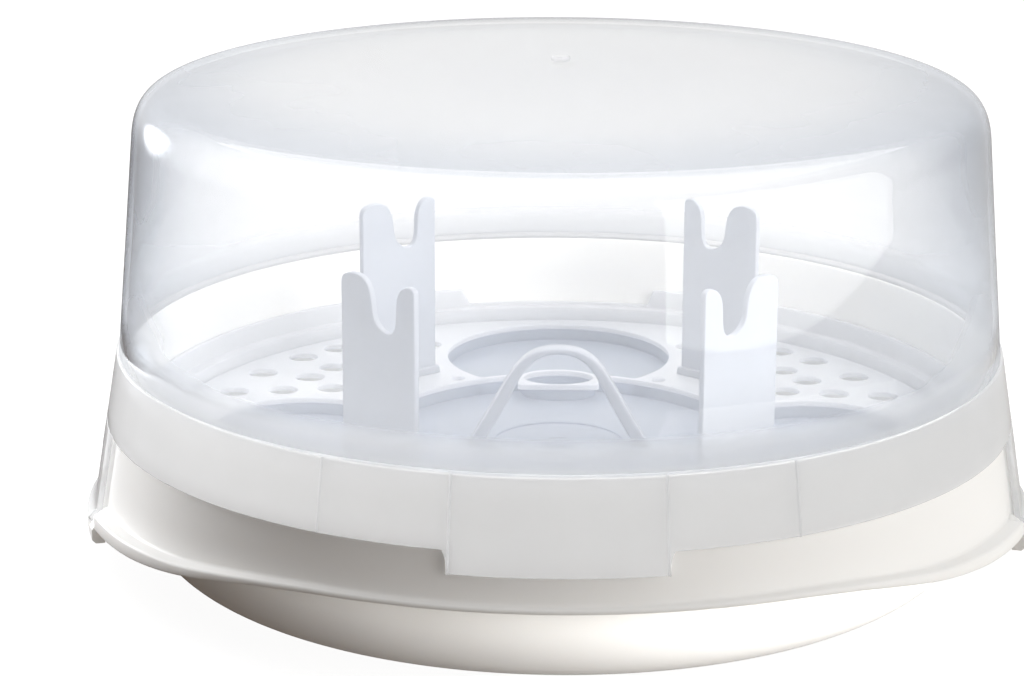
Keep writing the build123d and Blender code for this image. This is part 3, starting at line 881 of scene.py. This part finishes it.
# ------------------------------------------------------------------ stage
me = bpy.data.meshes.new("floor")
S = 4.0
me.from_pydata([(-S, -S, 0), (S, -S, 0), (S, S, 0), (-S, S, 0)], [], [(0, 1, 2, 3)])
floor = bpy.data.objects.new("floor", me)
bpy.context.scene.collection.objects.link(floor)
fm, nt, out = nodes_of("floor_pale")
grit = remap(nt, noise(nt, 3.0, 3), 0.3, 0.7, 0.0, 1.0)
p = add(nt, "ShaderNodeBsdfPrincipled")
nt.links.new(mix_colour(nt, grit, (0.130, 0.129, 0.128), (0.142, 0.141, 0.140)), p.inputs["Base Color"])
p.inputs["Roughness"].default_value = 0.7
p.inputs["Emission Color"].default_value = (1.0, 1.0, 1.0, 1)
p.inputs["Emission Strength"].default_value = 0.92
nt.links.new(p.outputs[0], out.inputs["Surface"])
me.materials.append(fm)
floor.visible_diffuse = False      # the white sweep doesn't fill the object's shaded side
floor.visible_glossy = False

# studio: dim brown in front, a bright rear and ceiling
w = bpy.data.worlds.new("studio")
bpy.context.scene.world = w
w.use_nodes = True
wt_ = w.node_tree
bg = wt_.nodes["Background"]
tc = wt_.nodes.new("ShaderNodeTexCoord")
sx_ = wt_.nodes.new("ShaderNodeSeparateXYZ")
wt_.links.new(tc.outputs["Generated"], sx_.inputs[0])
side = remap(wt_, sx_.outputs["X"], -0.8, 0.8, 0.0, 1.0)
rear = remap(wt_, math_node(wt_, "SUBTRACT", sx_.outputs["Y"], math_node(wt_, "MULTIPLY", sx_.outputs["X"], 0.45)),
             -0.15, 0.75, 0.0, 1.0)
high = remap(wt_, sx_.outputs["Z"], 0.05, 0.45, 0.0, 1.0)
zenith = remap(wt_, sx_.outputs["Z"], 0.62, 0.84, 0.0, 1.0)
below = remap(wt_, sx_.outputs["Z"], -0.22, 0.06, 1.0, 0.0)
low_side = remap(wt_, sx_.outputs["X"], -0.25, 0.70, 0.0, 1.0)
left_col = mix_colour(wt_, high, (0.085, 0.055, 0.037), (0.18, 0.16, 0.15))
right_col = mix_colour(wt_, high, (0.10, 0.09, 0.085), (0.17, 0.18, 0.20))
low_col = mix_colour(wt_, low_side, (0.05, 0.026, 0.012), (0.95, 0.93, 0.90))
front_col = mix_colour(wt_, side, left_col, right_col)
col = mix_colour(wt_, rear, front_col, (1.03, 1.03, 1.03))
col = mix_colour(wt_, zenith, col, (0.7, 0.7, 0.7))
col = mix_colour(wt_, below, col, low_col)
wt_.links.new(col, bg.inputs["Color"])
bg.inputs["Strength"].default_value = 1.0


def area(name, loc, target, size, radiance, colour=(1, 1, 1), shape="RECTANGLE"):
    l = bpy.data.lights.new(name, "AREA")
    l.shape = shape
    l.size, l.size_y = size
    l.energy = radiance * math.pi * size[0] * size[1] * (1 if shape == "RECTANGLE" else math.pi / 4)
    l.color = colour
    o = bpy.data.objects.new(name, l)
    bpy.context.scene.collection.objects.link(o)
    o.location = loc
    d = Vector(target) - Vector(loc)
    o.rotation_euler = d.to_track_quat("-Z", "Y").to_euler()
    return o


def soft_edge(o, start):
    """Radiance that fades towards the rim of an area light."""
    l = o.data
    l.use_nodes = True
    nt = l.node_tree
    em = nt.nodes["Emission"]
    g = nt.nodes.new("ShaderNodeNewGeometry")
    d = nt.nodes.new("ShaderNodeVectorMath")
    d.operation = "DISTANCE"
    d.inputs[1].default_value = (0.5, 0.5, 0)
    nt.links.new(g.outputs["Parametric"], d.inputs[0])
    nt.links.new(remap(nt, d.outputs["Value"], start, 0.5, 1.0, 0.0), em.inputs["Strength"])


RIGHT = ((0.66, -0.44, 0.30), (0, 0, 0.26), (1.0, 0.58))
panel = area("softbox_right", *RIGHT, 2.7, (1.0, 0.99, 0.975))
panel.visible_diffuse = False
panel_rack = area("softbox_right_rack", *RIGHT, 6.2, (1.0, 0.99, 0.975))
panel_base = area("softbox_right_base", *RIGHT, 2.15, (1.0, 0.99, 0.975))
panel_frost = area("softbox_right_frosted", *RIGHT, 1.4, (1.0, 0.99, 0.975))
rear_left = area("softbox_rear_left", (-0.85, 0.71, 0.22), (0, 0, 0.12), (0.44, 0.52), 9.0, (0.95, 0.975, 1.02), "ELLIPSE")
soft_edge(rear_left, 0.15)
rim_left = area("rim_left", (-0.98, 0.61, 0.15), (0, 0, 0.04), (0.5, 0.5), 26.0, (0.97, 0.985, 1.01))
top = area("softbox_top", (0.0, 0.18, 1.05), (0, 0, 0.05), (1.5, 1.4), 1.7)
top_inside = area("softbox_top_inside", (0.0, 0.18, 1.0), (0, 0, 0.05), (1.5, 1.4), 0.80)
fill = area("fill_lid", (-0.10, -1.0, 0.55), (0, 0, 0.05), (1.8, 0.5), 3.0)
fill_dome = area("fill_dome_left", (-0.95, -0.30, 0.12), (0, 0, 0.10), (0.6, 0.5), 9.5)
fill_left = area("fill_collar_left", (-0.95, -0.35, 0.30), (0, 0, 0.06), (0.6, 0.6), 5.2)
low_front = area("low_front_right", (0.62, -0.78, 0.14), (0, 0, 0.02), (0.8, 0.22), 4.0)
low_skirt = area("low_front_skirt", (0.62, -0.78, 0.14), (0, 0, 0.02), (0.8, 0.22), 1.2)
back_glow = area("back_glow", (0.0, 1.05, 0.22), (0, 0, 0.09), (1.5, 0.5), 1.6)
inside_back = area("inside_back", (0.0, -0.55, 0.95), (0, 0.08, 0.05), (0.8, 0.6), 0.9)
for l_ in (panel_rack, panel_base, panel_frost, rim_left, top_inside, fill, fill_dome, fill_left, low_front, low_skirt, inside_back, back_glow):
    l_.visible_glossy = False


def group(name, test):
    c = bpy.data.collections.new(name)
    for o_ in bpy.data.objects:
        if o_.type == "MESH" and test(o_.name):
            c.objects.link(o_)
    return c


def lit(light, name, test, shadows=None):
    light.light_linking.receiver_collection = group("lit_by_" + name, test)
    if shadows:
        light.light_linking.blocker_collection = group("shading_" + name, shadows)


def frosted(n):
    return n.startswith(("collar", "latch_flap"))


def outside_of_base(n):
    return n.startswith(("skirt", "base_", "floor")) and not n.startswith(("floor_ring", "floor_gate"))


def inside(n):
    return n.startswith(("floor_", "vent", "ridge")) or not (frosted(n) or outside_of_base(n)
                                                               or n.startswith(("dome", "floor")))


lit(panel, "softbox_gloss", lambda n: n.startswith("dome") or inside(n))
lit(panel_rack, "softbox_rack", inside, inside)
lit(panel_base, "softbox_base", lambda n: outside_of_base(n) or n == "bowl")
lit(panel_frost, "softbox_frosted", frosted)
lit(rim_left, "rim_left", lambda n: n.startswith(("skirt", "base_")))
lit(top, "softbox_top", lambda n: n == "floor" or not (outside_of_base(n) or n == "bowl"))
lit(top_inside, "top_inside", inside, inside)
lit(inside_back, "inside_back", lambda n: n in ("bowl", "collar"), inside)
lit(fill, "fill", lambda n: frosted(n) or n.startswith("dome"))
lit(fill_dome, "fill_dome", lambda n: n.startswith("dome"))
lit(fill_left, "fill_left", frosted)
lit(back_glow, "back_glow", lambda n: n.startswith("dome"))
lit(low_front, "low_front", lambda n: n == "bowl")
lit(low_skirt, "low_skirt", lambda n: n.startswith(("skirt", "base_")))

# ------------------------------------------------------------------ camera
D, H, F, PITCH, ROLL, X0, YAW = 0.88705, 0.31955, 2941.87, 0.2789, 0.0029, -0.00177, -0.01458
cp, sp = math.cos(PITCH), math.sin(PITCH)
fwd = Vector((math.sin(YAW) * cp, math.cos(YAW) * cp, -sp))
right = Vector((math.cos(YAW), -math.sin(YAW), 0))
up = right.cross(fwd)
r2 = right * math.cos(ROLL) + up * math.sin(ROLL)
u2 = -right * math.sin(ROLL) + up * math.cos(ROLL)
cam = bpy.data.cameras.new("camera")
cam.sensor_width = 36
cam.sensor_fit = "HORIZONTAL"
cam.lens = F * 36 / 1024
co = bpy.data.objects.new("camera", cam)
bpy.context.scene.collection.objects.link(co)
m = Matrix(((r2.x, u2.x, -fwd.x, X0), (r2.y, u2.y, -fwd.y, -D), (r2.z, u2.z, -fwd.z, H), (0, 0, 0, 1)))
co.matrix_world = m
bpy.context.scene.camera = co
bpy.context.scene.view_settings.view_transform = "Standard"
cy = bpy.context.scene.cycles
cy.max_bounces, cy.diffuse_bounces, cy.glossy_bounces, cy.transparent_max_bounces = 10, 6, 3, 40
